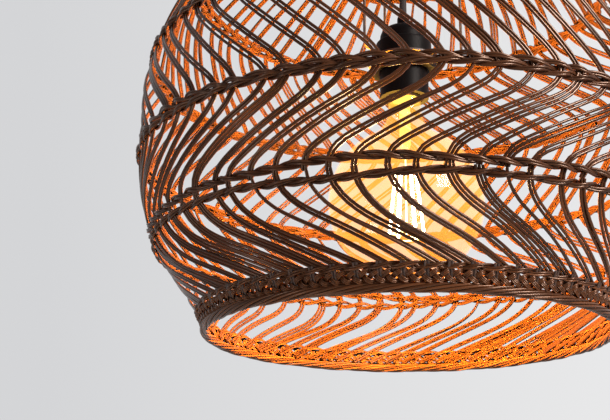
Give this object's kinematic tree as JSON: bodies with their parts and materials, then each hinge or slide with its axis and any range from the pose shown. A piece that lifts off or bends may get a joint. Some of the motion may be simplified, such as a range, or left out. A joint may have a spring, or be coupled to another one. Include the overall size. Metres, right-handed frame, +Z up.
{
  "type": "pendant ceiling light",
  "caption": "Ceiling light with a waisted shade of woven cane on a wire drop frame, clamped to a lampholder with a large amber globe lamp and hung by its cord from a ceiling cup.",
  "frame": {"origin": "centre of the ceiling strap's upper face, on the plane of the ceiling", "axes": "+Z up, out of the room into the ceiling; +X along the strap, through its screw slots; the light hangs down along -Z"},
  "size_m": [0.4338, 0.4342, 0.57],
  "materials": {
    "cane": "varnished cane, satin",
    "frame_wire": "dark brown paint on welded wire",
    "black_plastic": "satin black moulding",
    "steel": "zinc-plated",
    "cup_black": "satin black paint",
    "brass": "plain brass",
    "white_block": "plain moulding",
    "ceramic": "glazed ceramic look",
    "conductor": "insulated conductor",
    "cord_sheath": "round black cord",
    "plated_shell": "plated thin sheet",
    "amber_glass": "amber clear glass",
    "clear_glass": "clear glass",
    "black_glass": "black insulator",
    "filament": "coated filament stick, lit in use"
  },
  "bodies": {
    "ceiling": {"ceiling_strap": "steel", "ceiling_hook": "steel", "hook_nut": "steel", "ceiling_cup": "cup_black", "cup_screws": "steel"},
    "link": {"hanger_link": "steel"},
    "pendant": {"hanger_grip": "black_plastic", "grip_clamp": "black_plastic", "grip_screws": "steel", "terminal_block": "white_block", "terminal_sleeves": "brass", "terminal_screws": "steel", "cord_leads": "conductor", "cord": "cord_sheath", "holder_gland": "black_plastic", "holder_cap": "black_plastic", "holder_leads": "conductor", "holder_core": "ceramic", "centre_contact": "brass", "side_contact": "brass", "thread_shell": "plated_shell", "holder_skirt": "black_plastic", "drop_frame": "frame_wire", "top_binding": "cane", "ribs_e_top": "cane", "band_e_row": "cane", "ribs_d_e": "cane", "band_d_upper": "cane", "band_d_lower": "cane", "ribs_c_d_left": "cane", "ribs_c_d_right": "cane", "band_c_upper": "cane", "band_c_lower": "cane", "ribs_b_c_left": "cane", "ribs_b_c_right": "cane", "band_b_upper": "cane", "band_b_lower": "cane", "ribs_a_b_left": "cane", "ribs_a_b_right": "cane", "band_a_upper": "cane", "band_a_lower": "cane", "ribs_rim_a_left": "cane", "ribs_rim_a_right": "cane", "rim_row": "cane", "rim_braid": "cane", "rim_stakes": "cane", "rim_border": "cane"},
    "shade_ring": {"shade_ring": "black_plastic"},
    "lamp": {"lamp_cap": "plated_shell", "lamp_insulator": "black_glass", "lamp_contact": "steel", "lamp_glass": "amber_glass", "lamp_stem": "clear_glass", "filament_frame": "steel", "filaments": "filament"}
  },
  "joints": [
    {"name": "link_swing", "type": "hinge", "parent": "ceiling", "child": "link", "pos_m": [0, 0, -0.022], "axis": [1, 0, 0], "range_deg": [-4, 4]},
    {"name": "pendant_swing", "type": "hinge", "parent": "link", "child": "pendant", "pos_m": [0, 0, -0.0323], "axis": [0, 1, 0], "range_deg": [-4, 4]},
    {"name": "ring_unscrew", "type": "slide", "parent": "pendant", "child": "shade_ring", "axis": [0, 0, -1], "range_m": [0, 0.02]},
    {"name": "lamp_unscrew", "type": "slide", "parent": "pendant", "child": "lamp", "axis": [0, 0, -1], "range_m": [0, 0.027]}
  ]
}
